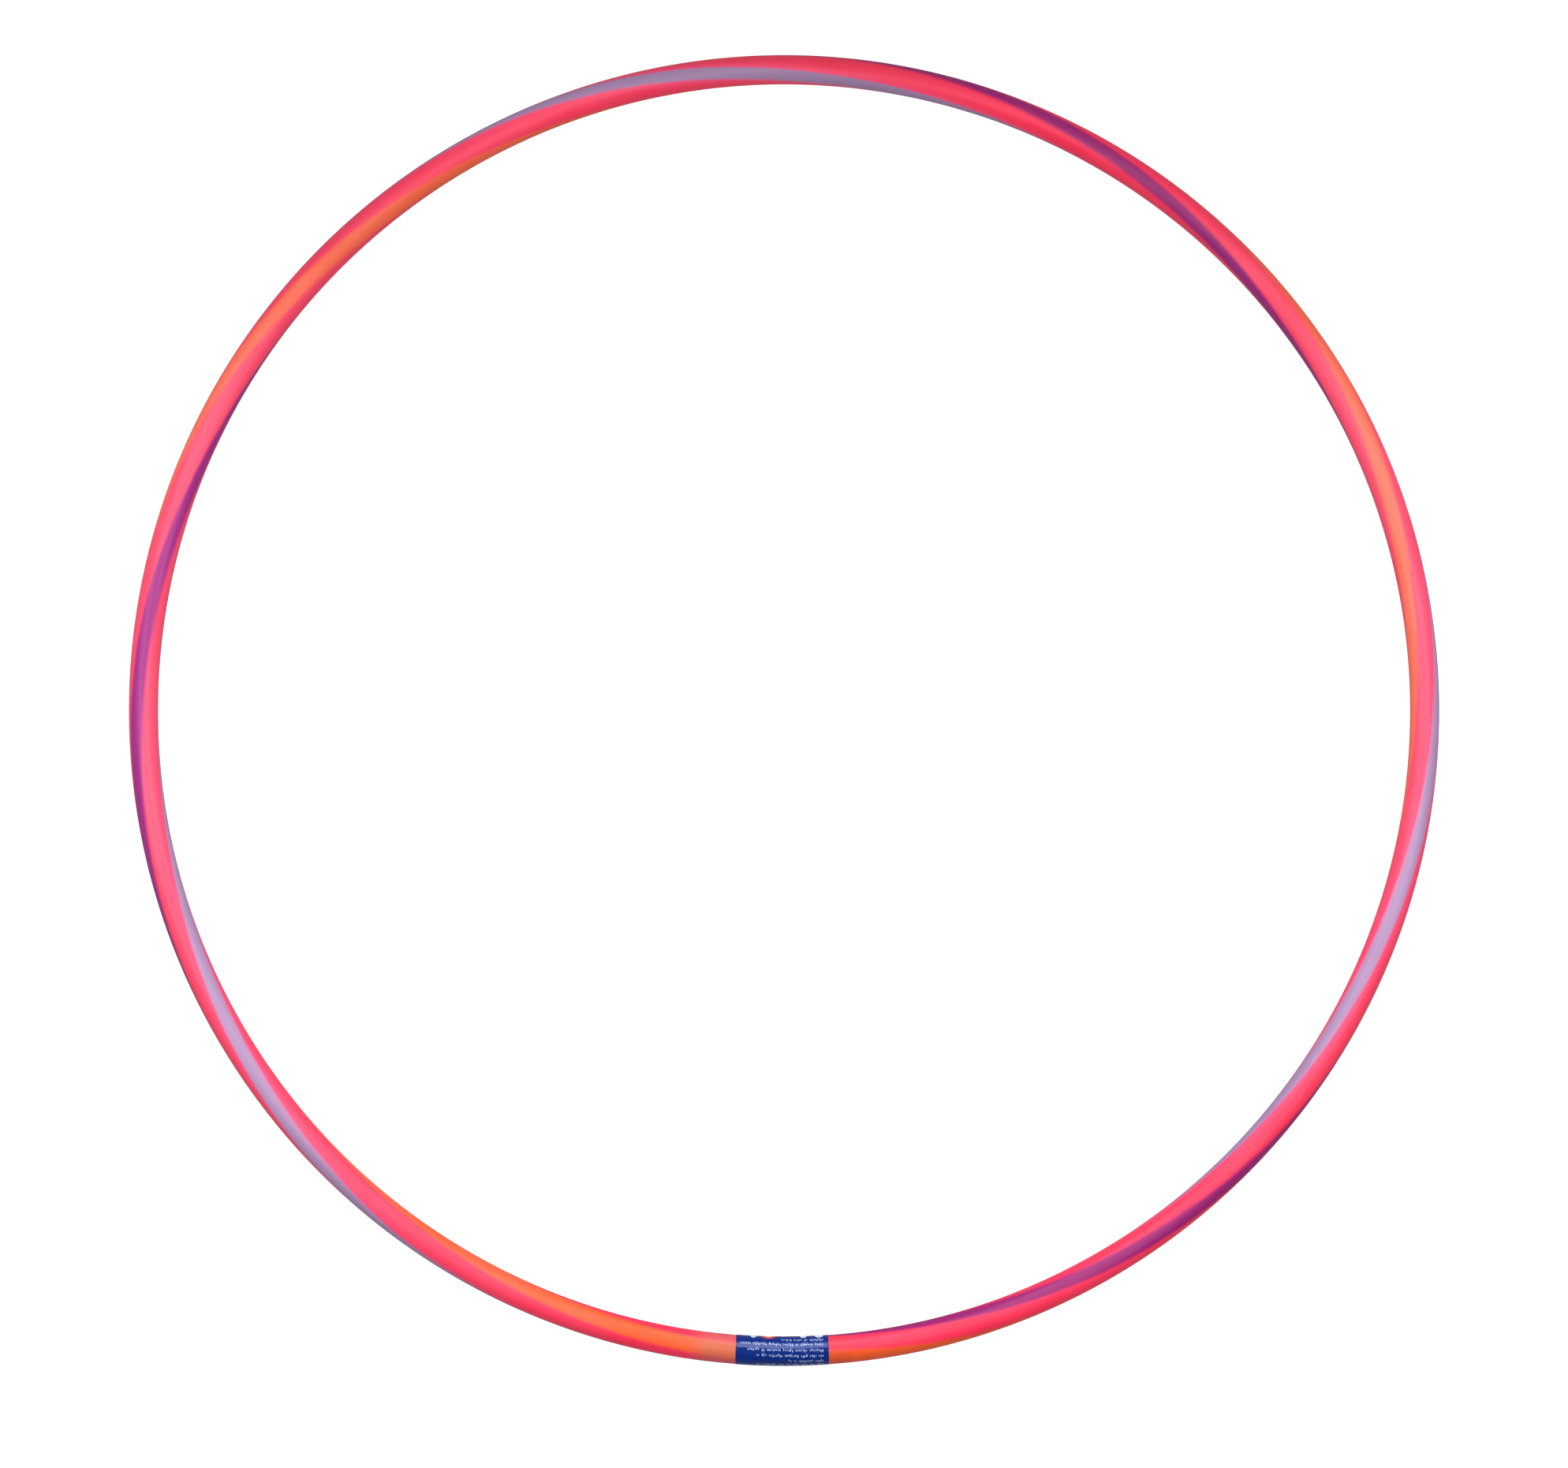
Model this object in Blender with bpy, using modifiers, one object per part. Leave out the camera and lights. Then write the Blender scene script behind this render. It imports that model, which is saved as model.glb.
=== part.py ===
"""Rhythmic hoop lying flat: one striped plastic tube bent into a ring and closed at a butt joint.

Five separate pieces: the tube, the plug inside its two ends, two wire staples that hold the plug,
and the label wrapped round the joint. Metres, +Z up. The origin is the middle of the ring on the
floor, the ring's axis is +Z, and the joint is at -Y.
"""

from math import cos, pi, radians, sin, tau

import bmesh
import bpy
from mathutils import Vector

# Driving dimensions
RING_OUTER_DIAMETER = 0.762
TUBE_DIAMETER = 0.017
TUBE_WALL = 0.0012
JOINT_GAP = 0.0003
FIT_GAP = 0.0003

LABEL_THICKNESS = 0.0001
LABEL_GAP = 0.0001

PLUG_LEFT = 0.054
PLUG_RIGHT = 0.039
PLUG_LEFT_TAPER = 0.009
PLUG_RIGHT_TAPER = 0.003
PLUG_TIP_SCALE = 0.84

STAPLE_WIRE = 0.0007
STAPLE_CROWN = 0.010
STAPLE_LEG = 0.0065
STAPLE_BEND = 0.0007
STAPLE_FROM_JOINT = 0.014
STAPLE_SINK = 0.00005
STAPLE_GAP = 0.0002

# How finely the round shapes are divided. A flat of the tube's section faces straight down, and
# the label and the plug bend at the tube's own stations, so that the gaps between them stay even.
RING_STEPS = 87
TUBE_SIDES = 20
LABEL_STEPS_EACH_SIDE = 1
LABEL_LAP_SIDES = 1
LABEL_EDGE_ANGLE = radians(225)
PLUG_BEVEL_RESOLUTION = 8
WIRE_BEVEL_RESOLUTION = 2
BEND_STEPS = 3

# Worked out from the above
TUBE_RADIUS = TUBE_DIAMETER / 2
RING_RADIUS = (RING_OUTER_DIAMETER - TUBE_DIAMETER) / 2
JOINT_ANGLE = -pi / 2
TUBE_HEIGHT = TUBE_RADIUS + LABEL_GAP + LABEL_THICKNESS
GAP_ANGLE = JOINT_GAP / RING_RADIUS
STEP_ANGLE = (tau - GAP_ANGLE) / RING_STEPS
FIRST_STATION = JOINT_GAP / 2
STATION_PITCH = STEP_ANGLE * RING_RADIUS
LABEL_HALF_ANGLE = GAP_ANGLE / 2 + LABEL_STEPS_EACH_SIDE * STEP_ANGLE
PLUG_RADIUS = TUBE_RADIUS - TUBE_WALL - FIT_GAP

# Each material's base colour, roughness and metallic value
MATERIALS = {
    "pink_plastic": ((0.97, 0.12, 0.22), 0.38, 0.0),
    "natural_plastic": ((0.62, 0.50, 0.36), 0.50, 0.0),
    "staple_steel": ((0.60, 0.60, 0.62), 0.30, 1.0),
    "label_film": ((0.01, 0.05, 0.30), 0.25, 0.0),
}


def clear_scene():
    """Remove whatever the scene holds."""
    for obj in list(bpy.data.objects):
        bpy.data.objects.remove(obj, do_unlink=True)


def new_collection(name):
    """Add a collection to the scene."""
    collection = bpy.data.collections.new(name)
    bpy.context.scene.collection.children.link(collection)
    return collection


def material(name):
    """Make the named plain material."""
    colour, roughness, metallic = MATERIALS[name]
    mat = bpy.data.materials.new(name)
    mat.use_nodes = True
    shader = mat.node_tree.nodes["Principled BSDF"]
    shader.inputs["Base Color"].default_value = (*colour, 1.0)
    shader.inputs["Roughness"].default_value = roughness
    shader.inputs["Metallic"].default_value = metallic
    return mat


def add_object(name, data, collection, material_name=None):
    """Put mesh or curve data into a collection as a named object."""
    obj = bpy.data.objects.new(name, data)
    collection.objects.link(obj)
    if material_name:
        data.materials.append(material(material_name))
    return obj


def profile_mesh(name, points, closed):
    """Make a line of edges in the XZ plane for the Screw modifier to turn."""
    edges = [(i, i + 1) for i in range(len(points) - 1)]
    if closed:
        edges.append((len(points) - 1, 0))
    mesh = bpy.data.meshes.new(name)
    mesh.from_pydata([(x, 0.0, z) for x, z in points], edges, [])
    return mesh


def section_point(angle, flat_radius):
    """A corner of the tube's many-sided section, whose flats are flat_radius from its middle."""
    corner_radius = flat_radius / cos(pi / TUBE_SIDES)
    return RING_RADIUS + corner_radius * cos(angle), TUBE_HEIGHT + corner_radius * sin(angle)


def turn(obj, start_angle, sweep, steps):
    """Sweep a profile round the ring's axis, from start_angle."""
    obj.rotation_euler = (0.0, 0.0, start_angle)
    screw = obj.modifiers.new("Screw", "SCREW")
    screw.axis = "Z"
    screw.angle = sweep
    screw.steps = steps
    screw.render_steps = steps
    screw.use_normal_calculate = False
    screw.use_merge_vertices = False


def thicken(obj, thickness, offset):
    """Give a surface its wall: offset -1 grows it inwards, and 1 outwards."""
    wall = obj.modifiers.new("Wall", "SOLIDIFY")
    wall.thickness = thickness
    wall.offset = offset
    wall.use_even_offset = True
    wall.use_rim = True


def cut(obj, cutters):
    """Take each cutter's shape out of an object."""
    for cutter in cutters:
        boolean = obj.modifiers.new("Cut " + cutter.name, "BOOLEAN")
        boolean.operation = "DIFFERENCE"
        boolean.solver = "EXACT"
        boolean.object = cutter


def along_ring(distance, height):
    """The point above the tube's middle line that is this far round from the joint."""
    angle = JOINT_ANGLE + distance / RING_RADIUS
    return Vector((RING_RADIUS * cos(angle), RING_RADIUS * sin(angle), height))


def rod_curve(name, points, scales, radius, bevel_resolution):
    """Make a round rod with flat closed ends along a row of points."""
    curve = bpy.data.curves.new(name, "CURVE")
    curve.dimensions = "3D"
    curve.bevel_depth = radius
    curve.bevel_resolution = bevel_resolution
    curve.use_fill_caps = True
    spline = curve.splines.new("POLY")
    spline.points.add(len(points) - 1)
    for spline_point, place, scale in zip(spline.points, points, scales):
        spline_point.co = (*place, 1.0)
        spline_point.radius = scale
    return curve


def as_mesh_object(obj, collection):
    """Replace a curve object with a welded mesh object of the same name and place."""
    bpy.context.view_layer.update()
    evaluated = obj.evaluated_get(bpy.context.evaluated_depsgraph_get())
    mesh = bpy.data.meshes.new_from_object(evaluated)
    work = bmesh.new()
    work.from_mesh(mesh)
    bmesh.ops.remove_doubles(work, verts=work.verts, dist=1e-6)
    bmesh.ops.recalc_face_normals(work, faces=work.faces)
    work.to_mesh(mesh)
    work.free()
    name = obj.name
    solid = bpy.data.objects.new(name + "_mesh", mesh)
    solid.matrix_world = obj.matrix_world.copy()
    collection.objects.link(solid)
    bpy.data.objects.remove(obj, do_unlink=True)
    solid.name = name
    return solid


def staple_points(centre, leg):
    """The wire's middle line: leg tip, rounded corner, crown, rounded corner, leg tip."""
    crown_height = TUBE_HEIGHT - TUBE_RADIUS + STAPLE_SINK + STAPLE_WIRE / 2
    half = STAPLE_CROWN / 2 - STAPLE_WIRE / 2
    side = [(half, crown_height + leg)]
    for i in range(BEND_STEPS + 1):
        bend = (pi / 2) * i / BEND_STEPS
        side.append((
            half - STAPLE_BEND * (1 - cos(bend)),
            crown_height + STAPLE_BEND * (1 - sin(bend)),
        ))
    path = side + [(-x, z) for x, z in reversed(side)]
    return [along_ring(centre + x, z) for x, z in path]


def staple(name, centre, radius, leg, collection, material_name=None):
    """One staple, or with a larger radius and leg, the room it takes in the tube and the plug."""
    points = staple_points(centre, leg)
    curve = rod_curve(name, points, [1.0] * len(points), radius, WIRE_BEVEL_RESOLUTION)
    return add_object(name, curve, collection, material_name)


def make_tube(collection, cutters):
    """The bent tube: a hollow ring, open only at the narrow gap between its two ends."""
    angles = [-(i + 0.5) * tau / TUBE_SIDES for i in range(TUBE_SIDES)]
    points = [section_point(angle, TUBE_RADIUS) for angle in angles]
    mesh = profile_mesh("hoop_tube", points, closed=True)
    tube = add_object("hoop_tube", mesh, collection, "pink_plastic")
    turn(tube, JOINT_ANGLE + GAP_ANGLE / 2, tau - GAP_ANGLE, RING_STEPS)
    thicken(tube, TUBE_WALL, -1.0)
    cut(tube, cutters)
    return tube


def plug_stations():
    """Distances from the joint at which the plug ends, tapers or bends."""
    ends = [-PLUG_LEFT, -PLUG_LEFT + PLUG_LEFT_TAPER, PLUG_RIGHT - PLUG_RIGHT_TAPER, PLUG_RIGHT]
    bends = [-FIRST_STATION - STATION_PITCH, 0.0, FIRST_STATION + STATION_PITCH]
    return sorted(ends + bends)


def on_tube_line(distance):
    """The point on the tube's middle line, which runs straight from one station to the next."""
    side = 1.0 if distance > 0 else -1.0
    stations = max(0.0, abs(distance) - FIRST_STATION) / STATION_PITCH
    before = int(stations)
    near = along_ring(side * (FIRST_STATION + before * STATION_PITCH), TUBE_HEIGHT)
    far = along_ring(side * (FIRST_STATION + (before + 1) * STATION_PITCH), TUBE_HEIGHT)
    return near.lerp(far, stations - before)


def make_plug(collection, cutters):
    """The curved rod inside both tube ends, with its two ends tapered to enter the bore."""
    points = [on_tube_line(distance) for distance in plug_stations()]
    scales = [1.0] * len(points)
    scales[0] = PLUG_TIP_SCALE
    scales[-1] = PLUG_TIP_SCALE
    curve = rod_curve("joint_plug", points, scales, PLUG_RADIUS, PLUG_BEVEL_RESOLUTION)
    rod = add_object("joint_plug", curve, collection)
    plug = as_mesh_object(rod, collection)
    plug.data.materials.append(material("natural_plastic"))
    cut(plug, cutters)
    return plug


def make_label(collection):
    """The film wrapped once round the tube over the joint, with its last edge lapped over."""
    turns = TUBE_SIDES + LABEL_LAP_SIDES
    first_layer = TUBE_RADIUS + LABEL_GAP
    lapped_layer = first_layer + LABEL_THICKNESS + LABEL_GAP
    points = []
    for i in range(turns + 1):
        layer = lapped_layer if i >= TUBE_SIDES else first_layer
        points.append(section_point(LABEL_EDGE_ANGLE - i * tau / TUBE_SIDES, layer))
    label = add_object("label", profile_mesh("label", points, closed=False), collection, "label_film")
    turn(label, JOINT_ANGLE - LABEL_HALF_ANGLE, 2 * LABEL_HALF_ANGLE, 2 * LABEL_STEPS_EACH_SIDE)
    thicken(label, LABEL_THICKNESS, 1.0)
    return label


def main():
    clear_scene()
    parts = new_collection("rhythmic_hoop")
    cutter_collection = new_collection("cutters")

    cutters = []
    places = {"joint_staple_left": -STAPLE_FROM_JOINT, "joint_staple_right": STAPLE_FROM_JOINT}
    for name, centre in places.items():
        staple(name, centre, STAPLE_WIRE / 2, STAPLE_LEG, parts, "staple_steel")
        room = staple(
            name + "_room",
            centre,
            STAPLE_WIRE / 2 + STAPLE_GAP,
            STAPLE_LEG + STAPLE_GAP,
            cutter_collection,
        )
        room = as_mesh_object(room, cutter_collection)
        room.hide_render = True
        room.display_type = "WIRE"
        cutters.append(room)

    make_tube(parts, cutters)
    make_plug(parts, cutters)
    make_label(parts)


main()
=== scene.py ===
"""Looks of the rhythmic hoop: the striped tube, the label over its joint, and what the joint holds."""

from math import asin, cos, pi, radians, sin, tau

import bpy
import numpy as np
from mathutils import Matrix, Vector


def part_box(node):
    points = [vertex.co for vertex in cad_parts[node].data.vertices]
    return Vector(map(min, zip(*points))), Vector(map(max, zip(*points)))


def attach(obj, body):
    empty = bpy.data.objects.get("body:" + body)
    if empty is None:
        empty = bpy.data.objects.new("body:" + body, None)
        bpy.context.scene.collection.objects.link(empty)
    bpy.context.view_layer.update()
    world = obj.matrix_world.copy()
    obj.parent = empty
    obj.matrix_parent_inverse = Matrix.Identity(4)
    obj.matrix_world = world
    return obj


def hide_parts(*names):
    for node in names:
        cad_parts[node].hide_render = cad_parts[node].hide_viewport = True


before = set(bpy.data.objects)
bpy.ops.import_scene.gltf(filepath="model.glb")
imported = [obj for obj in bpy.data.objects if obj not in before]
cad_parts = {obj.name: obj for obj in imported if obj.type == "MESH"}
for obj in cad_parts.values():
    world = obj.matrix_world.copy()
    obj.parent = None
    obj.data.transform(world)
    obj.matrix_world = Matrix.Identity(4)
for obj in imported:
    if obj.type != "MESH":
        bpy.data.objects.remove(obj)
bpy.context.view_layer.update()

MM = 0.001

# ---------------------------------------------------------------------------
# Places and sizes, read from the frame
# ---------------------------------------------------------------------------

TUBE_LOW, TUBE_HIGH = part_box("hoop_tube")
LABEL_LOW, LABEL_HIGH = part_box("label")
TUBE_RADIUS = (TUBE_HIGH.z - TUBE_LOW.z) / 2
TUBE_HEIGHT = (TUBE_HIGH.z + TUBE_LOW.z) / 2
RING_RADIUS = -TUBE_LOW.y - TUBE_RADIUS
JOINT_ANGLE = -pi / 2
LABEL_HALF_ANGLE = asin(LABEL_HIGH.x / -LABEL_LOW.y)
LABEL_HALF_LENGTH = LABEL_HALF_ANGLE * RING_RADIUS

# The plug reaches further on one side of the joint than on the other.
PLUG_LOW, PLUG_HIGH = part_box("joint_plug")
PLUG_LEFT = -RING_RADIUS * asin(PLUG_LOW.x / RING_RADIUS)
PLUG_RIGHT = RING_RADIUS * asin(PLUG_HIGH.x / RING_RADIUS)

# ---------------------------------------------------------------------------
# The object's own details
# ---------------------------------------------------------------------------

WALL = 1.2 * MM
JOINT_GAP = 0.3 * MM
TURNS_OF_STRIPES = 3

# Round the tube's section, 0 is the top, 90 is the outer side and -90 the inner side.
# Each row of a stripe is where it is on the ring, then its middle and its width round the section,
# once the three turns that it makes on the way round the ring are taken off. All are in degrees.
ORANGE = [
    (9, 292, 52), (21, 297, 57), (36, 307, 58), (111, 294, 67), (129, 300, 62), (141, 306, 57),
    (153, 315, 52), (231, 304, 67), (243, 297, 66), (255, 292, 64), (264, 289, 63), (277, 285, 64),
    (288, 293, 54),
]
LILAC = [
    (76, 58, 52), (87, 57, 52), (99, 68, 47), (117, 76, 46), (194, 66, 52), (208, 72, 51),
    (226, 79, 52), (234, 84, 48), (322, 50, 52), (344, 51, 54), (357, 56, 54),
]
PURPLE = [
    (40, 181, 45), (52, 188, 47), (58, 190, 48), (78, 192, 48), (153, 191, 43), (160, 196, 46),
    (170, 204, 54), (180, 203, 58), (195, 196, 50), (276, 160, 54), (285, 165, 50), (297, 171, 50),
    (309, 174, 53), (320, 185, 50),
]

# How milky the plastic is at each place on the ring, from 0 for its deepest colours to 1. The paler places at
# the sides also carry painted highlight.
MILKINESS_AND_SHEEN = [
    (0, 0.9), (30, 0.9), (60, 0.1), (90, 0.3), (125, 0.4), (150, 0.8), (180, 1.0), (200, 0.8), (240, 0.35),
    (256, 0.1), (275, 0.0), (320, 0.2), (345, 0.7),
]

# The tube's mesh. A row is one of the equal lengths that its skin is unrolled into for a bake.
SKIN_ROWS = 7
SKIN_STEPS_IN_ROW = 84
SKIN_SIDES = 48
BORE_STEPS = 84
BAKE_MAP = "OFBake"

# Each row of the bake map holds one of those lengths, and one more row holds the bore and the cut
# ends. The edge is a share of the map's width, and the rest are shares of a row's height.
MAP_EDGE = 0.002
ROW_MARGIN = 0.01
BORE_SHARE = 0.6
RIM_START = 0.7
RIM_PITCH = 0.12
RIM_SHARE = 0.08


def srgb(red, green, blue):
    """A colour given as screen values from 0 to 255, as the linear values that shaders use."""
    linear = [((c / 255 + 0.055) / 1.055) ** 2.4 if c > 10 else c / 255 / 12.92 for c in (red, green, blue)]
    return (*linear, 1.0)


# ---------------------------------------------------------------------------
# Points on the ring
# ---------------------------------------------------------------------------


def on_ring(ring_angle, section_angle, radius):
    """Points at these ring angles and section angles, radius away from the tube's middle line."""
    out = RING_RADIUS + radius * np.sin(section_angle)
    up = TUBE_HEIGHT + radius * np.cos(section_angle)
    return np.stack(
        np.broadcast_arrays(out * np.cos(ring_angle), out * np.sin(ring_angle), up), axis=-1
    )


def grid_faces(rows, columns, first, closed, inward=False):
    """Four-sided faces over a grid of points, whose columns may join up into a loop."""
    across = columns if closed else columns - 1
    row, column = np.meshgrid(np.arange(rows - 1), np.arange(across), indexing="ij")
    row, column = row.ravel(), column.ravel()
    after = (column + 1) % columns
    corners = [(row, column), (row, after), (row + 1, after), (row + 1, column)]
    if inward:
        corners.reverse()
    return first + np.stack([r * columns + c for r, c in corners], axis=1)


def new_object(name, points, faces, smooth=True):
    """A mesh object in the scene."""
    mesh = bpy.data.meshes.new(name)
    mesh.from_pydata(np.asarray(points).reshape(-1, 3).tolist(), [], [list(map(int, f)) for f in faces])
    mesh.validate()
    mesh.update()
    if smooth:
        mesh.shade_smooth()
    obj = bpy.data.objects.new(name, mesh)
    bpy.context.scene.collection.objects.link(obj)
    return obj


# ---------------------------------------------------------------------------
# Node helpers
# ---------------------------------------------------------------------------


class Shader:
    """A material's node tree, with short ways to add the nodes that this script uses."""

    def __init__(self, name):
        self.material = bpy.data.materials.new(name)
        self.material.use_nodes = True
        self.tree = self.material.node_tree
        self.tree.nodes.clear()
        self.principled = self.add("ShaderNodeBsdfPrincipled")
        output = self.add("ShaderNodeOutputMaterial")
        self.tree.links.new(self.principled.outputs[0], output.inputs["Surface"])

    def add(self, kind, **settings):
        node = self.tree.nodes.new(kind)
        for key, value in settings.items():
            setattr(node, key, value)
        return node

    def put(self, value, socket):
        """Link an output to an input, or set the input where the value is a plain number."""
        if isinstance(value, bpy.types.NodeSocket):
            self.tree.links.new(value, socket)
        elif value is not None:
            socket.default_value = value

    def math(self, operation, a, b=None, c=None, clamp=False):
        node = self.add("ShaderNodeMath", operation=operation, use_clamp=clamp)
        for value, socket in zip((a, b, c), node.inputs):
            self.put(value, socket)
        return node.outputs[0]

    def ramp(self, value, low, high, to_low=0.0, to_high=1.0, kind="SMOOTHSTEP"):
        """Map low..high to to_low..to_high, held at both ends."""
        node = self.add("ShaderNodeMapRange", interpolation_type=kind, clamp=True)
        for v, socket in zip((value, low, high, to_low, to_high), node.inputs):
            self.put(v, socket)
        return node.outputs[0]

    def mix(self, amount, a, b, blend="MIX"):
        node = self.add("ShaderNodeMix", data_type="RGBA", blend_type=blend, clamp_factor=True)
        self.put(amount, node.inputs["Factor"])
        self.put(a, node.inputs[6])
        self.put(b, node.inputs[7])
        return node.outputs[2]

    def noise(self, scale, detail=2.0, roughness=0.5, vector=None, w=None):
        kind = "3D" if w is None else "4D"
        node = self.add("ShaderNodeTexNoise", noise_dimensions=kind)
        node.inputs["Scale"].default_value = scale
        node.inputs["Detail"].default_value = detail
        node.inputs["Roughness"].default_value = roughness
        self.put(vector, node.inputs["Vector"])
        if w is not None:
            self.put(w, node.inputs["W"])
        return node.outputs["Fac"]

    def xyz(self, x, y, z):
        node = self.add("ShaderNodeCombineXYZ")
        for value, socket in zip((x, y, z), node.inputs):
            self.put(value, socket)
        return node.outputs[0]

    def bump(self, height, distance, strength):
        node = self.add("ShaderNodeBump")
        node.inputs["Strength"].default_value = strength
        node.inputs["Distance"].default_value = distance
        self.put(height, node.inputs["Height"])
        return node.outputs[0]

    def set(self, **values):
        """Set or link the Principled shader's inputs, named with _ for each space."""
        for key, value in values.items():
            self.put(value, self.principled.inputs[key.replace("_", " ")])

    def place(self):
        """The object's own coordinates, as one vector and as x, y and z."""
        vector = self.add("ShaderNodeTexCoord").outputs["Object"]
        split = self.add("ShaderNodeSeparateXYZ")
        self.put(vector, split.inputs[0])
        return vector, split.outputs[0], split.outputs[1], split.outputs[2]

    def angles(self):
        """The ring angle and the section angle of the point being shaded."""
        _, x, y, z = self.place()
        ring_angle = self.math("ARCTAN2", y, x)
        across = self.math("SQRT", self.math("ADD", self.math("MULTIPLY", x, x), self.math("MULTIPLY", y, y)))
        out = self.math("SUBTRACT", across, RING_RADIUS)
        up = self.math("SUBTRACT", z, TUBE_HEIGHT)
        return ring_angle, self.math("ARCTAN2", out, up)

    def from_joint(self, ring_angle):
        """The distance from the joint along the ring, negative to the left."""
        turn = self.math("WRAP", self.math("SUBTRACT", ring_angle, JOINT_ANGLE), pi, -pi)
        return self.math("MULTIPLY", turn, RING_RADIUS)

    def along_tube_noise(self, ring_angle, section_angle, round_scale, along_scale, detail=2.0):
        """Noise in streaks that run along the tube and meet up all the way round."""
        x = self.math("MULTIPLY", self.math("COSINE", section_angle), round_scale)
        y = self.math("MULTIPLY", self.math("SINE", section_angle), round_scale)
        z = self.math("MULTIPLY", self.math("COSINE", ring_angle), along_scale)
        w = self.math("MULTIPLY", self.math("SINE", ring_angle), along_scale)
        return self.noise(1.0, detail=detail, vector=self.xyz(x, y, z), w=w)


# ---------------------------------------------------------------------------
# The striped tube
# ---------------------------------------------------------------------------


def round_ring(table, ring_angles):
    """A table's values at each ring angle. Its rows are a ring angle in degrees and a value."""
    at, value = (np.array(column, float) for column in zip(*table))
    return np.interp(np.degrees(ring_angles) % 360, at, value, period=360)


def stripe_course(stripe, ring_angles):
    """A stripe's middle and half width at each ring angle, in radians."""
    middles = round_ring([(at, middle) for at, middle, _ in stripe], ring_angles)
    widths = round_ring([(at, width) for at, _, width in stripe], ring_angles)
    return np.radians(middles), np.radians(widths) / 2


def tube_mesh():
    """A pipe bent into a ring, open at the joint: skin, bore, and the two cut ends."""
    steps = SKIN_ROWS * SKIN_STEPS_IN_ROW
    half_gap = JOINT_GAP / RING_RADIUS / 2
    section = np.arange(SKIN_SIDES) / SKIN_SIDES * tau
    skin_angles = JOINT_ANGLE + np.linspace(half_gap, tau - half_gap, steps + 1)
    bore_angles = JOINT_ANGLE + np.linspace(half_gap, tau - half_gap, BORE_STEPS + 1)
    skin = on_ring(skin_angles[:, None], section[None, :], TUBE_RADIUS)
    bore = on_ring(bore_angles[:, None], section[None, :], TUBE_RADIUS - WALL)
    bore_first = skin.shape[0] * SKIN_SIDES
    points = np.concatenate([skin.reshape(-1, 3), bore.reshape(-1, 3)])

    skin_faces = grid_faces(steps + 1, SKIN_SIDES, 0, True)
    bore_faces = grid_faces(BORE_STEPS + 1, SKIN_SIDES, bore_first, True, inward=True)
    side = np.arange(SKIN_SIDES)
    after = (side + 1) % SKIN_SIDES
    start = np.stack([side, bore_first + side, bore_first + after, after], axis=1)
    last_skin = steps * SKIN_SIDES
    last_bore = bore_first + BORE_STEPS * SKIN_SIDES
    end = np.stack([last_skin + side, last_skin + after, last_bore + after, last_bore + side], axis=1)
    faces = np.concatenate([skin_faces, bore_faces, start, end])
    tube = new_object("tube", points, faces)

    lay_out_tube(tube.data, len(skin_faces), len(bore_faces))
    angles = np.concatenate([np.repeat(skin_angles, SKIN_SIDES), np.repeat(bore_angles, SKIN_SIDES)])
    courses = [stripe_course(stripe, angles) for stripe in (ORANGE, LILAC, PURPLE)]
    for name, column in (("stripe_middles", 0), ("stripe_half_widths", 1)):
        values = np.stack([course[column] for course in courses], axis=1)
        attribute = tube.data.attributes.new(name, "FLOAT_VECTOR", "POINT")
        attribute.data.foreach_set("vector", values.astype(np.float32).ravel())
    attribute = tube.data.attributes.new("milkiness_and_sheen", "FLOAT", "POINT")
    attribute.data.foreach_set("value", round_ring(MILKINESS_AND_SHEEN, angles).astype(np.float32))
    return tube


def map_width(share):
    """A place across the bake map, kept off its two edges."""
    return MAP_EDGE + (1 - 2 * MAP_EDGE) * share


def lay_out_tube(mesh, skin_count, bore_count):
    """Unroll the skin into equal rows of the bake map, with the bore and the cut ends below them."""
    rows = SKIN_ROWS + 1
    corner = np.array([(0, 0), (0, 1), (1, 1), (1, 0)])
    face = np.arange(skin_count)
    step = face // SKIN_SIDES
    row = step // SKIN_STEPS_IN_ROW
    u = (step % SKIN_STEPS_IN_ROW)[:, None] + corner[None, :, 0]
    v = (face % SKIN_SIDES)[:, None] + corner[None, :, 1]
    all_u = [map_width(u / SKIN_STEPS_IN_ROW)]
    all_v = [row[:, None] + 1 + ROW_MARGIN + (1 - 2 * ROW_MARGIN) * v / SKIN_SIDES]

    face = np.arange(bore_count)
    flipped = corner[::-1]
    u = (face // SKIN_SIDES)[:, None] + flipped[None, :, 0]
    v = (face % SKIN_SIDES)[:, None] + flipped[None, :, 1]
    all_u.append(map_width(u / BORE_STEPS))
    all_v.append(ROW_MARGIN + BORE_SHARE * v / SKIN_SIDES)

    face = np.arange(SKIN_SIDES)
    rims = [[(0, 0), (1, 0), (1, 1), (0, 1)], [(0, 0), (0, 1), (1, 1), (1, 0)]]
    for end, places in enumerate(rims):
        place = np.array(places)
        all_u.append(map_width((face[:, None] + place[None, :, 1]) / SKIN_SIDES))
        across = RIM_START + RIM_PITCH * end + RIM_SHARE * place[:, 0]
        all_v.append(np.tile(across, (SKIN_SIDES, 1)))

    coordinates = np.stack([np.concatenate(all_u), np.concatenate(all_v) / rows], axis=-1)
    layer = mesh.uv_layers.new(name=BAKE_MAP)
    layer.data.foreach_set("uv", coordinates.astype(np.float32).ravel())


# Each plastic's colour where it is deepest, and where it is milky: the milky colour is partly the plastic's
# own paler tone and partly painted highlight.
PINK = srgb(252, 37, 80), srgb(254, 77, 110)
STRIPE_COLOURS = {
    "orange": (srgb(240, 85, 15), srgb(254, 112, 91)),
    "lilac": (srgb(160, 127, 168), srgb(177, 141, 182)),
    "purple": (srgb(149, 0, 104), srgb(160, 34, 128)),
}

# The pink pales towards the lilac stripe, from this many radians away from it.
PINK_FRINGE = srgb(254, 72, 118)
FRINGE_REACH = 0.55

# How far each stripe's edges fade, in radians round the section: the edge before its middle, then the
# edge after it.
STRIPE_FADES = {"orange": (0.18, 0.12), "lilac": (0.12, 0.07), "purple": (0.22, 0.16)}
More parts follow.
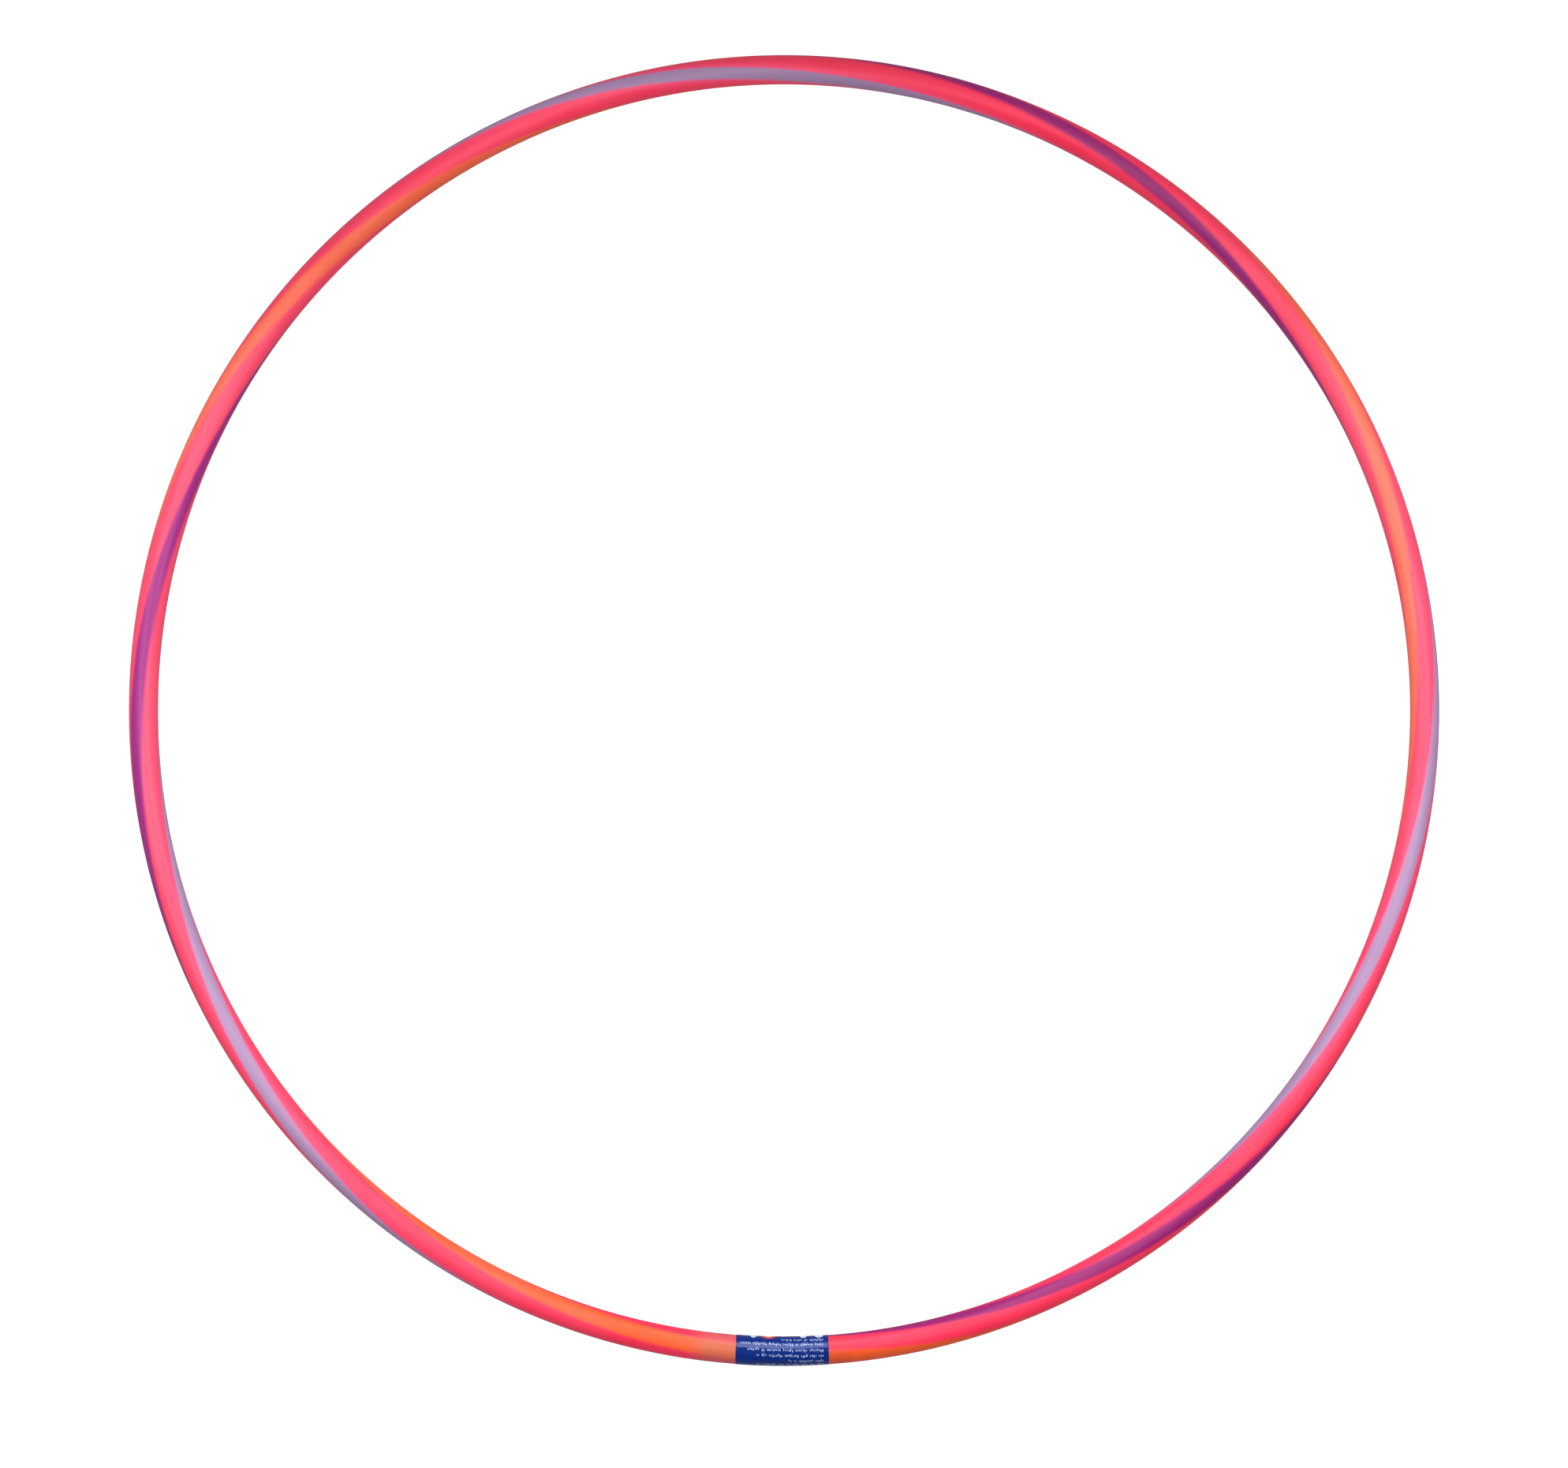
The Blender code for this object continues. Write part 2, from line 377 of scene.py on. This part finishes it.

# On the left of the joint the plug seen through the wall, with painted shade towards the label's end; on the
# right painted shade beside the label's end, over the plug.
# For each side its colour, how strongly it shows, and between which distances from the joint it fades. The
# two sides meet under the label.
PLUG_LEFT_SHOW_AND_SHADE_TINT = srgb(158, 112, 92)
PLUG_LEFT_SHOW_AND_SHADE = 0.46
PLUG_LEFT_SHOW_AND_SHADE_FADE = (-PLUG_LEFT - 3 * MM, -PLUG_LEFT + 13 * MM)
LABEL_RIGHT_SHADE_TINT = srgb(150, 60, 56)
LABEL_RIGHT_SHADE = 0.2
LABEL_RIGHT_SHADE_FADE = (PLUG_RIGHT - 2 * MM, PLUG_RIGHT + 4 * MM)
TINT_SIDES_MEET = 4 * MM


def tube_material():
    """Satin, more or less milky plastic: pink with three soft-edged spiral stripes in its wall. The milky
    paling at the sides also carries painted highlight, and the wall beside the label's ends carries painted
    shade.
    """
    s = Shader("striped_plastic")
    ring_angle, section_angle = s.angles()
    spiral = s.math("SUBTRACT", section_angle, s.math("MULTIPLY", ring_angle, TURNS_OF_STRIPES))
    middles = s.add("ShaderNodeAttribute", attribute_name="stripe_middles").outputs["Vector"]
    halves = s.add("ShaderNodeAttribute", attribute_name="stripe_half_widths").outputs["Vector"]
    split_middles = s.add("ShaderNodeSeparateXYZ")
    split_halves = s.add("ShaderNodeSeparateXYZ")
    s.put(middles, split_middles.inputs[0])
    s.put(halves, split_halves.inputs[0])

    vector = s.place()[0]
    waver = s.math("MULTIPLY", s.math("SUBTRACT", s.noise(70.0, vector=vector), 0.5), 0.10)
    cloud = s.noise(26.0, detail=3.0, vector=vector)
    # The milky share: paler plastic, and painted highlight at the sides of the ring.
    milkiness_and_sheen = s.add("ShaderNodeAttribute", attribute_name="milkiness_and_sheen").outputs["Fac"]
    milky_and_sheen = s.math("ADD", milkiness_and_sheen, s.ramp(cloud, 0.3, 0.7, -0.1, 0.1), clamp=True)
    colour = s.mix(milky_and_sheen, *PINK)

    for index, (name, stripe_colours) in enumerate(STRIPE_COLOURS.items()):
        off = s.math("SUBTRACT", s.math("ADD", spiral, waver), split_middles.outputs[index])
        across = s.math("WRAP", off, pi, -pi)
        inside = s.math("SUBTRACT", split_halves.outputs[index], s.math("ABSOLUTE", across))
        soft = s.ramp(across, -0.02, 0.02, *STRIPE_FADES[name])
        cover = s.ramp(s.math("DIVIDE", inside, soft), -1.0, 1.0)
        if name == "lilac":
            fringe = s.ramp(inside, -FRINGE_REACH, 0.0)
            colour = s.mix(fringe, colour, PINK_FRINGE)
        colour = s.mix(cover, colour, s.mix(milky_and_sheen, *stripe_colours))

    # Painted shade beside the label's ends: mixed with the plug seen through the wall on the left, shade
    # alone on the right.
    from_joint = s.from_joint(ring_angle)
    left = s.ramp(from_joint, *PLUG_LEFT_SHOW_AND_SHADE_FADE, 0.0, PLUG_LEFT_SHOW_AND_SHADE)
    right = s.ramp(from_joint, *LABEL_RIGHT_SHADE_FADE, LABEL_RIGHT_SHADE, 0.0)
    on_the_left = s.ramp(from_joint, -TINT_SIDES_MEET, TINT_SIDES_MEET, 1.0, 0.0)
    on_the_right = s.ramp(from_joint, -TINT_SIDES_MEET, TINT_SIDES_MEET)
    colour = s.mix(s.math("MULTIPLY", left, on_the_left), colour, PLUG_LEFT_SHOW_AND_SHADE_TINT)
    colour = s.mix(s.math("MULTIPLY", right, on_the_right), colour, LABEL_RIGHT_SHADE_TINT)

    streaks = s.along_tube_noise(ring_angle, section_angle, 14.0, 5.0)
    smudges = s.noise(45.0, detail=4.0, roughness=0.6, vector=vector)
    s.set(
        Base_Color=colour,
        Roughness=s.ramp(s.math("ADD", streaks, smudges), 0.6, 1.4, 0.42, 0.54, kind="LINEAR"),
        Normal=s.bump(streaks, 0.08 * MM, 0.35),
        IOR=1.5,
    )
    return s.material


# ---------------------------------------------------------------------------
# The label
# ---------------------------------------------------------------------------

LABEL_STEPS = 110
LABEL_SIDES = 336
FILM = 0.1 * MM
FILM_LIFT = 0.03 * MM
LAP_ANGLE = radians(18)
LAP_RISE = radians(5)
EDGE_ANGLE = radians(-135)

# How much of its own length the film keeps as it goes from the ring's inner side to the outer side.
FILM_KEEPS = 0.5

# The fold that runs along the film: where it is, how far its flat flanks reach, how round it is, and
# how far it sways, over what length.
CREASE_ANGLE = radians(-13.5)
CREASE_REACH = radians(15.5)
CREASE_ROUNDING = radians(1)
CREASE_SWAY = radians(1), 9 * MM

# The film sinks a little over the joint's gap, with a low shoulder on each side, and is nowhere quite
# smooth. Each pair is how deep or high it is, and how wide.
GROOVE = 0.045 * MM, 0.5 * MM
SHOULDER = 0.02 * MM, 0.7 * MM
SHOULDER_AT = 1.5 * MM
DEEPEST = 0.02 * MM
RIPPLE = 0.006 * MM, 2.9 * MM
LAP_CLEARANCE = 0.02 * MM

INK = 0.02 * MM
INK_SUNK = 0.004 * MM
PRINT_END = 24.2 * MM
TICK_PITCH = 1.05 * MM
WORD_GAP = 0.95 * MM

# The ticks: how much of the row's height each takes, and how far its middle is off the row's middle.
TICK_SHAPES = [(0.62, -0.19), (0.62, -0.19), (0.66, -0.17), (0.62, -0.19), (1.0, 0.0), (1.0, -0.38)]
TICK_HALF_WIDTHS = 0.18, 0.32
TICKS_IN_GROUP = 2, 9

# The bars that join some ticks to the next: where across the row they lie, their half height, and
# how often there is one.
BAR_PLACES = [-0.42, -0.19, 0.04]
BAR_HALF_HEIGHT = 0.1
BAR_CHANCE = 0.6

# Each row of fine print: its section angle in degrees at the joint, how long it is, and how tall its
# marks are (in mm). The rows lean a little.
ROW_LEAN = radians(0.17) / MM
PRINT_ROWS = [
    (-52, 25.6, 1.8), (-30, 50.2, 1.9), (-7, 47.2, 1.8), (15, 40.2, 1.8), (38, 21.4, 1.8), (60, 40.2, 1.8),
    (82, 44.0, 1.8), (104, 33.0, 1.8), (127, 46.5, 1.8), (149, 27.0, 1.8), (172, 38.0, 1.8),
]

# A plain ornament of bars and dots on the inner side: distance from the joint, half length, half
# height (all in mm), lean in degrees, how square its corners are, and its ink.
ORNAMENT_ANGLE = radians(-90)
ORNAMENT = [
    (-17.6, 1.5, 3.7, 18, 5, "white"),
    (-8.0, 4.7, 4.5, 0, 2, "coral"),
    (0.8, 1.2, 1.2, 0, 2, "yellow"),
    (12.3, 1.9, 3.6, 0, 3, "white"),
    (21.6, 2.5, 3.8, 0, 3, "white"),
]
ORNAMENT_INSET = (-8.0, 2.6, 2.5, 0, 2, "cream")


def film_height(along, section_turn):
    """How far the film's inner face is from the tube's middle line, at a distance from the joint."""
    groove = -GROOVE[0] * np.exp(-((along / GROOVE[1]) ** 2))
    shoulder = SHOULDER[0] * np.exp(-(((np.abs(along) - SHOULDER_AT) / SHOULDER[1]) ** 2))
    ripple = RIPPLE[0] * np.sin(along / RIPPLE[1] + 2.2 * np.sin(2 * section_turn))
    lap = np.clip((section_turn - (tau - LAP_RISE)) / LAP_RISE, 0, 1)
    rise = (FILM + LAP_CLEARANCE) * lap * lap * (3 - 2 * lap)
    round_part = TUBE_RADIUS + FILM_LIFT + np.maximum(groove + shoulder + ripple, -DEEPEST) + rise
    crease_at = CREASE_ANGLE + CREASE_SWAY[0] * np.sin(along / CREASE_SWAY[1])
    from_crease = (section_turn + EDGE_ANGLE - crease_at + pi) % tau - pi
    flank = np.clip(CREASE_REACH - np.hypot(from_crease, CREASE_ROUNDING), 0, None)
    return round_part / np.cos(flank)


def film_angle(along, section_angle):
    """The ring angle of a point on the film, at a distance from the joint along the film."""
    return JOINT_ANGLE + along / (RING_RADIUS + FILM_KEEPS * TUBE_RADIUS * np.sin(section_angle))


def label_mesh():
    """The film: once round the tube, with its last edge lapped over the first."""
    along = np.linspace(-LABEL_HALF_LENGTH, LABEL_HALF_LENGTH, LABEL_STEPS + 1)[:, None]
    turn = np.linspace(0, tau + LAP_ANGLE, LABEL_SIDES + 1)[None, :]
    section_angle = EDGE_ANGLE + turn
    points = on_ring(film_angle(along, section_angle), section_angle, film_height(along, turn))
    label = new_object("label_film", points, grid_faces(LABEL_STEPS + 1, LABEL_SIDES + 1, 0, False))
    wall = label.modifiers.new("Film", "SOLIDIFY")
    wall.thickness = FILM
    wall.offset = 1.0
    return label


def on_film(along, section_angle, lift):
    """Points on the film's outer face, raised by lift."""
    turn = (section_angle - EDGE_ANGLE) % tau
    return on_ring(film_angle(along, section_angle), section_angle, film_height(along, turn) + FILM + lift)


def ink_mark(
    along, section_angle, half_length, half_height, lean=0.0, squareness=6, sides=8, rings=2, layer=0
):
    """A thin closed mark on the film: a superellipse, from a round dot to a square-cornered bar."""
    around = np.arange(sides) / sides * tau + tau / sides / 2
    cosine, sine = np.cos(around), np.sin(around)
    reach = (np.abs(cosine) ** squareness + np.abs(sine) ** squareness) ** (-1 / squareness)
    across, up = half_length * reach * cosine, half_height * reach * sine
    across, up = across * cos(lean) + up * sin(lean), up * cos(lean) - across * sin(lean)
    share = np.arange(1, rings + 1)[:, None] / rings
    place = along + np.concatenate([[0.0], (share * across).ravel()])
    angle = section_angle + np.concatenate([[0.0], (share * up).ravel()]) / TUBE_RADIUS
    top, bottom = (on_film(place, angle, lift) for lift in ((layer + 1) * INK, layer * INK - INK_SUNK))

    side = np.arange(sides)
    after = (side + 1) % sides
    faces = [(0, 1 + a, 1 + b) for a, b in zip(side, after)]
    for ring in range(rings - 1):
        inner, outer = 1 + ring * sides, 1 + (ring + 1) * sides
        faces += [(inner + a, outer + a, outer + b, inner + b) for a, b in zip(side, after)]
    count = len(top)
    rim = 1 + (rings - 1) * sides
    below = [tuple(count + corner for corner in reversed(face)) for face in faces]
    walls = [(rim + a, count + rim + a, count + rim + b, rim + b) for a, b in zip(side, after)]
    return np.concatenate([top, bottom]), faces + below + walls


def marks_object(name, marks):
    """One object out of many ink marks."""
    points, faces, first = [], [], 0
    for mark_points, mark_faces in marks:
        points.append(mark_points)
        faces += [tuple(first + corner for corner in face) for face in mark_faces]
        first += len(mark_points)
    obj = new_object(name, np.concatenate(points), faces, smooth=False)
    obj.data.shade_smooth()
    obj.data.set_sharp_from_angle(angle=radians(40))
    return obj


def fine_print():
    """Rows of plain ticks in groups, some joined by a bar, which stand for print too small to read."""
    rng = np.random.default_rng(7)
    marks = []
    for row_angle, length, height in PRINT_ROWS:
        place, start, high = PRINT_END, PRINT_END - length * MM, height * MM
        while place > start + 2 * TICK_PITCH:
            ticks = min(rng.integers(*TICKS_IN_GROUP), int((place - start) / TICK_PITCH))
            for tick in range(ticks):
                middle = place - TICK_PITCH / 2
                share, lift = TICK_SHAPES[rng.integers(len(TICK_SHAPES))]
                wide = TICK_PITCH * rng.uniform(*TICK_HALF_WIDTHS)
                at = radians(row_angle) + ROW_LEAN * middle + lift * high / TUBE_RADIUS
                marks.append(ink_mark(middle, at, wide, share * high / 2))
                bar = rng.choice(BAR_PLACES)
                if tick + 1 < ticks and rng.uniform() < BAR_CHANCE:
                    at = radians(row_angle) + ROW_LEAN * place + bar * high / TUBE_RADIUS
                    half_bar = BAR_HALF_HEIGHT * high
                    marks.append(ink_mark(place - TICK_PITCH, at, TICK_PITCH / 2, half_bar, layer=1))
                place -= TICK_PITCH
            place -= WORD_GAP
    return marks_object("label_fine_print", marks)


def ornament_marks(name, shapes, layer=0):
    """The ornament's bars and dots of one ink, printed over the layers before it."""
    marks = [
        ink_mark(
            along * MM, ORNAMENT_ANGLE, half_length * MM, half_height * MM, radians(lean),
            squareness, sides=64, rings=8, layer=layer,
        )
        for along, half_length, half_height, lean, squareness, _ in shapes
    ]
    return marks_object(name, marks)


def label_material():
    """Blue print on a gloss film, a little worn at the cut edges."""
    s = Shader("blue_label_print")
    ring_angle, section_angle = s.angles()
    vector = s.place()[0]
    stretch = s.math("MULTIPLY", s.math("SINE", section_angle), FILM_KEEPS * TUBE_RADIUS / RING_RADIUS)
    along = s.math("MULTIPLY", s.from_joint(ring_angle), s.math("ADD", stretch, 1.0))
    to_edge = s.math("SUBTRACT", LABEL_HALF_LENGTH, s.math("ABSOLUTE", along))
    mottle = s.noise(900.0, detail=2.0, vector=vector)
    ink = s.mix(s.ramp(mottle, 0.3, 0.7), srgb(0, 33, 112), srgb(1, 40, 124))
    flecks = s.noise(1500.0, detail=1.0, vector=vector)
    worn = s.math("MULTIPLY", s.ramp(flecks, 0.62, 0.68), s.ramp(to_edge, 0.5 * MM, 0.1 * MM))
    ink = s.mix(worn, ink, srgb(232, 236, 246))
    s.set(
        Base_Color=ink,
        Roughness=s.ramp(s.noise(120.0, detail=3.0, vector=vector), 0.3, 0.7, 0.22, 0.30, kind="LINEAR"),
        Normal=s.bump(s.noise(350.0, detail=2.0, vector=vector), 0.02 * MM, 0.3),
        IOR=1.4,
        Specular_Tint=(0.68, 0.75, 1.0, 1.0),
    )
    return s.material


def ink_material(name, light, dark):
    """Printing ink, uneven where it is thin."""
    s = Shader(name)
    vector = s.place()[0]
    cover = s.noise(2200.0, detail=2.0, vector=vector)
    s.set(
        Base_Color=s.mix(s.ramp(cover, 0.35, 0.6), dark, light),
        Roughness=s.ramp(cover, 0.3, 0.7, 0.42, 0.30, kind="LINEAR"),
        Normal=s.bump(cover, 0.006 * MM, 0.3),
        IOR=1.5,
    )
    return s.material


# ---------------------------------------------------------------------------
# What the joint holds
# ---------------------------------------------------------------------------


def plug_material():
    """Matt natural plastic with a faint grain."""
    s = Shader("natural_plastic")
    vector = s.place()[0]
    grain = s.noise(220.0, detail=4.0, vector=vector)
    s.set(
        Base_Color=s.mix(grain, srgb(196, 172, 138), srgb(176, 150, 118)),
        Roughness=s.ramp(grain, 0.3, 0.7, 0.45, 0.6, kind="LINEAR"),
        Normal=s.bump(grain, 0.05 * MM, 0.3),
    )
    return s.material


def steel_material():
    """Bright drawn wire."""
    s = Shader("staple_wire")
    vector = s.place()[0]
    scratches = s.noise(2500.0, detail=3.0, vector=vector)
    s.set(
        Base_Color=s.mix(scratches, srgb(200, 200, 204), srgb(168, 168, 172)),
        Metallic=1.0,
        Roughness=s.ramp(scratches, 0.3, 0.7, 0.22, 0.38, kind="LINEAR"),
        Normal=s.bump(scratches, 0.01 * MM, 0.3),
    )
    return s.material


# ---------------------------------------------------------------------------
# The studio
# ---------------------------------------------------------------------------

# How bright the surround is, and how far from the level one brightness turns into the other.
SURROUND_ABOVE = 0.29
SURROUND_BELOW = 0.43
SURROUND_BLEND = 0.4

FLOOR_RADIUS = 9.0
FLOOR_GLOW = 0.65

# Each light's place round the ring and its tilt from overhead, in degrees, and its power in watts.
LIGHT_DISTANCE = 3.6
LIGHT_WIDTH = 1.4
LIGHTS = [(0, 25, 43.0), (180, 25, 43.0), (45, 50, 22.0), (90, 50, 50.0), (135, 50, 25.0)]

# The card: its height above the floor, where its near edge is, its size, and how bright it is.
FLAG_HEIGHT = 0.20
FLAG_NEAR = 0.363
FLAG_DEPTH = 0.36
FLAG_WIDTH = 0.95
FLAG_GLOW = 0.3

# The camera: its lens and sensor in mm, how wide its view is at the ring in metres, how far its
# middle is below the ring's, and how far it is turned.
LENS = 135.0
SENSOR = 36.0
FRAME_WIDTH = 0.9118
RING_ABOVE_MIDDLE = 0.0137
CAMERA_ROLL = radians(0.17)


def studio_floor():
    """A plain pale sheet, lit from below, that the hoop lies on. It is only a backdrop: it throws no
    light on the hoop, and doesn't show in its gloss."""
    bpy.ops.mesh.primitive_circle_add(vertices=96, radius=FLOOR_RADIUS, fill_type="NGON")
    floor = bpy.context.object
    floor.name = "floor"
    s = Shader("pale_floor")
    s.set(Base_Color=(0.82, 0.82, 0.82, 1.0), Roughness=0.9, Specular_IOR_Level=0.1)
    s.set(Emission_Color=(1.0, 1.0, 1.0, 1.0), Emission_Strength=FLOOR_GLOW)
    floor.data.materials.append(s.material)
    floor.visible_diffuse = False
    floor.visible_glossy = False
    floor.visible_shadow = False


def soft_light(name, around, tilt, power):
    """A round soft light that faces the middle of the ring."""
    towards = Vector((sin(tilt) * cos(around), sin(tilt) * sin(around), cos(tilt)))
    data = bpy.data.lights.new(name, "AREA")
    data.shape = "DISK"
    data.size = LIGHT_WIDTH
    data.energy = power
    light = bpy.data.objects.new(name, data)
    light.location = LIGHT_DISTANCE * towards
    light.rotation_euler = towards.to_track_quat("Z", "Y").to_euler()
    bpy.context.scene.collection.objects.link(light)


def studio_lights():
    """A dim surround, brighter below as a pale floor is, and soft lights at the sides and the far side."""
    world = bpy.data.worlds.new("studio")
    world.use_nodes = True
    nodes, links = world.node_tree.nodes, world.node_tree.links
    height = nodes.new("ShaderNodeSeparateXYZ")
    shade = nodes.new("ShaderNodeMapRange")
    shade.inputs["From Min"].default_value = -SURROUND_BLEND
    shade.inputs["From Max"].default_value = SURROUND_BLEND
    shade.inputs["To Min"].default_value = SURROUND_BELOW
    shade.inputs["To Max"].default_value = SURROUND_ABOVE
    links.new(nodes.new("ShaderNodeTexCoord").outputs["Generated"], height.inputs[0])
    links.new(height.outputs["Z"], shade.inputs["Value"])
    links.new(shade.outputs[0], nodes["Background"].inputs["Strength"])
    nodes["Background"].inputs["Color"].default_value = (1.0, 1.0, 1.0, 1.0)
    bpy.context.scene.world = world
    for number, (around, tilt, power) in enumerate(LIGHTS, start=1):
        soft_light(f"soft_light_{number}", radians(around), radians(tilt), power)


def studio_flag():
    """A white card over the far part of the ring, which turns its hard light into an even, dim one."""
    side, far = FLAG_WIDTH / 2, FLAG_NEAR + FLAG_DEPTH
    corners = [(-side, FLAG_NEAR), (side, FLAG_NEAR), (side, far), (-side, far)]
    flag = new_object("flag", [(x, y, FLAG_HEIGHT) for x, y in corners], [(0, 1, 2, 3)])
    flag.visible_camera = False
    s = Shader("flag_card")
    s.set(Emission_Color=(1.0, 1.0, 1.0, 1.0), Emission_Strength=FLAG_GLOW)
    flag.data.materials.append(s.material)


def studio_camera():
    """Straight above the ring, looking down its axis, with the joint at the bottom of the view."""
    data = bpy.data.cameras.new("camera")
    data.lens = LENS
    data.sensor_width = SENSOR
    data.clip_end = 50.0
    camera = bpy.data.objects.new("camera", data)
    camera.location = (0.0, -RING_ABOVE_MIDDLE, TUBE_HEIGHT + FRAME_WIDTH * LENS / SENSOR)
    camera.rotation_euler.z = CAMERA_ROLL
    bpy.context.scene.collection.objects.link(camera)
    bpy.context.scene.camera = camera


# ---------------------------------------------------------------------------
# Putting it together
# ---------------------------------------------------------------------------


def finish_node(name, material):
    """Give a CAD node that stays in view its better material."""
    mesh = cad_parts[name].data
    mesh.materials.clear()
    mesh.materials.append(material)


def dress(piece, material, slot, *nodes):
    """Give a piece its material and its place in the frame."""
    piece.data.materials.append(material)
    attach(piece, "root")
    if nodes:
        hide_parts(*nodes)


bpy.context.scene.view_settings.view_transform = "Standard"
studio_floor()
studio_lights()
studio_flag()
studio_camera()
dress(tube_mesh(), tube_material(), "tube_plastic", "hoop_tube")
dress(label_mesh(), label_material(), "label_film", "label")
white_ink = ink_material("white_ink", srgb(226, 230, 240), srgb(170, 184, 214))
thin_ink = ink_material("thin_white_ink", srgb(176, 190, 224), srgb(90, 112, 176))
dress(fine_print(), thin_ink, "label_film")
INKS = {
    "white": white_ink,
    "coral": ink_material("coral_ink", srgb(214, 66, 52), srgb(176, 50, 60)),
    "yellow": ink_material("yellow_ink", srgb(240, 200, 60), srgb(206, 160, 56)),
    "cream": ink_material("cream_ink", srgb(240, 226, 196), srgb(216, 192, 160)),
}
for ink in ("white", "coral", "yellow"):
    shapes = [shape for shape in ORNAMENT if shape[-1] == ink]
    dress(ornament_marks(f"label_ornament_{ink}", shapes), INKS[ink], "label_film")
dress(ornament_marks("label_ornament_cream", [ORNAMENT_INSET], layer=1), INKS["cream"], "label_film")
finish_node("joint_plug", plug_material())
steel = steel_material()
finish_node("joint_staple_left", steel)
finish_node("joint_staple_right", steel)
